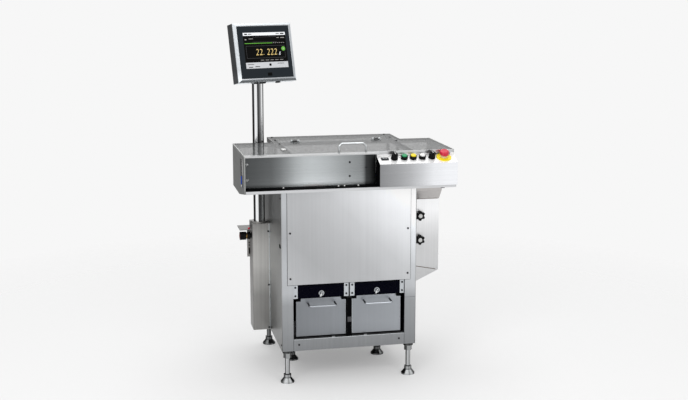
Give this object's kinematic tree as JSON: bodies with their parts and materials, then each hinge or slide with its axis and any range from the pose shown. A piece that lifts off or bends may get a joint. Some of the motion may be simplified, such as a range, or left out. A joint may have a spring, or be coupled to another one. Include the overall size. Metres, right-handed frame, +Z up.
{
  "type": "checkweigher",
  "caption": "Free-standing checkweigher: belt lane in a clear hinged hood, sloped button console, reject drawers and a swivelling touch panel on a pole.",
  "frame": {"origin": "on the floor, under the middle of the whole machine", "axes": "+Z up, +X to the right seen from the front, +Y to the back"},
  "size_m": [0.9226, 0.682, 1.5285],
  "materials": {
    "steel": "brushed",
    "bright": "polished",
    "alloy": "satin",
    "clear": "polished",
    "smoke": "polished",
    "belt": "matt",
    "black": "fine grain",
    "green": "gloss",
    "yellow": "gloss",
    "white": "gloss",
    "red": "gloss",
    "panel_glass": "gloss",
    "screen": "gloss"
  },
  "bodies": {
    "root": {"cabinet_frame": "steel", "front_panel": "steel", "cabinet_panels": "steel", "panel_screws": "bright", "bin_windows": "smoke", "window_brackets": "steel", "bin_runners": "steel", "foot_locknuts": "bright", "weigh_pedestal": "steel", "load_cell": "alloy", "reject_chutes": "steel", "hood_floor": "steel", "hood_ends": "steel", "front_cover": "steel", "hood_frame": "steel", "windshield": "clear", "infeed_frame": "steel", "weigh_frame": "steel", "outfeed_frame": "steel", "conveyor_belts": "belt", "air_nozzles": "alloy", "console_shell": "steel", "control_bezels": "black", "e_stop_plate": "yellow", "pole": "bright", "side_box": "steel", "valve_body": "black", "side_chute": "steel"},
    "bin_left": {"reject_bin_left": "steel"},
    "lock_left": {"bin_lock_left": "bright"},
    "bin_right": {"reject_bin_right": "steel"},
    "lock_right": {"bin_lock_right": "bright"},
    "foot_front_left": {"foot_front_left": "bright"},
    "foot_front_right": {"foot_front_right": "bright"},
    "foot_middle_left": {"foot_middle_left": "bright"},
    "foot_middle_right": {"foot_middle_right": "bright"},
    "foot_rear_left": {"foot_rear_left": "bright"},
    "foot_rear_right": {"foot_rear_right": "bright"},
    "lid": {"lid": "clear", "lid_fittings": "bright"},
    "infeed_roller_left": {"infeed_roller_left": "alloy"},
    "infeed_roller_right": {"infeed_roller_right": "alloy"},
    "weigh_roller_left": {"weigh_roller_left": "alloy"},
    "weigh_roller_right": {"weigh_roller_right": "alloy"},
    "outfeed_roller_left": {"outfeed_roller_left": "alloy"},
    "outfeed_roller_right": {"outfeed_roller_right": "alloy"},
    "green_button": {"green_button": "green"},
    "yellow_button": {"yellow_button": "yellow"},
    "white_button": {"white_button": "white"},
    "selector_left": {"selector_left": "black"},
    "selector_right": {"selector_right": "black"},
    "e_stop_stem": {"e_stop_stem": "black"},
    "e_stop_head": {"e_stop_head": "red"},
    "hmi_swivel": {"hmi_swivel": "steel"},
    "hmi_panel": {"hmi_housing": "steel", "hmi_glass": "panel_glass", "hmi_screen": "screen"},
    "valve_knob": {"valve_knob": "black"},
    "star_knob_lower": {"star_knob_lower": "black"},
    "star_knob_upper": {"star_knob_upper": "black"}
  },
  "joints": [
    {"name": "bin_left_slide", "type": "slide", "parent": "root", "child": "bin_left", "axis": [0, -1, 0], "range_m": [0, 0.17]},
    {"name": "lock_left_turn", "type": "hinge", "parent": "root", "child": "lock_left", "pos_m": [-0.11268, -0.263, 0.393], "axis": [0, 1, 0], "range_deg": [0, 90]},
    {"name": "bin_right_slide", "type": "slide", "parent": "root", "child": "bin_right", "axis": [0, -1, 0], "range_m": [0, 0.17]},
    {"name": "lock_right_turn", "type": "hinge", "parent": "root", "child": "lock_right", "pos_m": [0.13132, -0.263, 0.393], "axis": [0, 1, 0], "range_deg": [0, 90]},
    {"name": "foot_front_left_screw", "type": "hinge", "parent": "root", "child": "foot_front_left", "pos_m": [-0.25968, -0.239, 0], "axis": [0, 0, 1], "continuous": true},
    {"name": "foot_front_right_screw", "type": "hinge", "parent": "root", "child": "foot_front_right", "pos_m": [0.27832, -0.239, 0], "axis": [0, 0, 1], "continuous": true},
    {"name": "foot_middle_left_screw", "type": "hinge", "parent": "root", "child": "foot_middle_left", "pos_m": [-0.19168, 0.057, 0], "axis": [0, 0, 1], "continuous": true},
    {"name": "foot_middle_right_screw", "type": "hinge", "parent": "root", "child": "foot_middle_right", "pos_m": [0.21032, 0.057, 0], "axis": [0, 0, 1], "continuous": true},
    {"name": "foot_rear_left_screw", "type": "hinge", "parent": "root", "child": "foot_rear_left", "pos_m": [-0.25968, 0.311, 0], "axis": [0, 0, 1], "continuous": true},
    {"name": "foot_rear_right_screw", "type": "hinge", "parent": "root", "child": "foot_rear_right", "pos_m": [0.27832, 0.311, 0], "axis": [0, 0, 1], "continuous": true},
    {"name": "lid_hinge", "type": "hinge", "parent": "root", "child": "lid", "pos_m": [0.00932, 0.085, 1.0065], "axis": [-1, 0, 0], "range_deg": [0, 65]},
    {"name": "infeed_left_spin", "type": "hinge", "parent": "root", "child": "infeed_roller_left", "pos_m": [-0.42168, -0.232, 0.881], "axis": [0, 1, 0], "continuous": true},
    {"name": "infeed_right_spin", "type": "hinge", "parent": "root", "child": "infeed_roller_right", "pos_m": [-0.17768, -0.232, 0.881], "axis": [0, 1, 0], "continuous": true},
    {"name": "weigh_left_spin", "type": "hinge", "parent": "root", "child": "weigh_roller_left", "pos_m": [-0.14168, -0.232, 0.881], "axis": [0, 1, 0], "continuous": true},
    {"name": "weigh_right_spin", "type": "hinge", "parent": "root", "child": "weigh_roller_right", "pos_m": [0.01032, -0.232, 0.881], "axis": [0, 1, 0], "continuous": true},
    {"name": "outfeed_left_spin", "type": "hinge", "parent": "root", "child": "outfeed_roller_left", "pos_m": [0.04632, -0.232, 0.881], "axis": [0, 1, 0], "continuous": true},
    {"name": "outfeed_right_spin", "type": "hinge", "parent": "root", "child": "outfeed_roller_right", "pos_m": [0.43832, -0.232, 0.881], "axis": [0, 1, 0], "continuous": true},
    {"name": "green_press", "type": "slide", "parent": "root", "child": "green_button", "axis": [0, 0.3746, -0.9272], "range_m": [0, 0.004], "stiffness_N_per_m": 400, "springref_m": -0.003},
    {"name": "yellow_press", "type": "slide", "parent": "root", "child": "yellow_button", "axis": [0, 0.3746, -0.9272], "range_m": [0, 0.004], "stiffness_N_per_m": 400, "springref_m": -0.003},
    {"name": "white_press", "type": "slide", "parent": "root", "child": "white_button", "axis": [0, 0.3746, -0.9272], "range_m": [0, 0.004], "stiffness_N_per_m": 400, "springref_m": -0.003},
    {"name": "selector_left_turn", "type": "hinge", "parent": "root", "child": "selector_left", "pos_m": [0.19332, -0.303, 0.97035], "axis": [0, -0.3746, 0.9272], "range_deg": [-45, 45]},
    {"name": "selector_right_turn", "type": "hinge", "parent": "root", "child": "selector_right", "pos_m": [0.35732, -0.303, 0.97035], "axis": [0, -0.3746, 0.9272], "range_deg": [-45, 45]},
    {"name": "e_stop_press", "type": "slide", "parent": "root", "child": "e_stop_stem", "axis": [0, 0.3746, -0.9272], "range_m": [0, 0.004]},
    {"name": "e_stop_twist", "type": "hinge", "parent": "e_stop_stem", "child": "e_stop_head", "pos_m": [0.41032, -0.303, 0.97035], "axis": [0, 0.3746, -0.9272], "range_deg": [0, 30], "stiffness_Nm_per_rad": 0.2},
    {"name": "panel_swivel", "type": "hinge", "parent": "root", "child": "hmi_swivel", "pos_m": [-0.32468, 0.1225, 1.31], "axis": [0, 0, 1], "range_deg": [-100, 100]},
    {"name": "panel_tilt", "type": "hinge", "parent": "hmi_swivel", "child": "hmi_panel", "pos_m": [-0.32038, 0.1113, 1.34], "axis": [-0.9336, -0.3584, 0], "range_deg": [-12, 20]},
    {"name": "valve_turn", "type": "hinge", "parent": "root", "child": "valve_knob", "pos_m": [-0.36368, 0.109, 0.577], "axis": [-1, 0, 0], "range_deg": [0, 90]},
    {"name": "star_knob_lower_turn", "type": "hinge", "parent": "root", "child": "star_knob_lower", "pos_m": [0.34432, -0.163, 0.587], "axis": [0, -1, 0], "continuous": true},
    {"name": "star_knob_upper_turn", "type": "hinge", "parent": "root", "child": "star_knob_upper", "pos_m": [0.34432, -0.163, 0.695], "axis": [0, -1, 0], "continuous": true}
  ],
  "couplings": [
    {"joint": "infeed_left_spin", "follows": "infeed_right_spin", "ratio": 1},
    {"joint": "weigh_right_spin", "follows": "weigh_left_spin", "ratio": 1},
    {"joint": "outfeed_right_spin", "follows": "outfeed_left_spin", "ratio": 1}
  ]
}
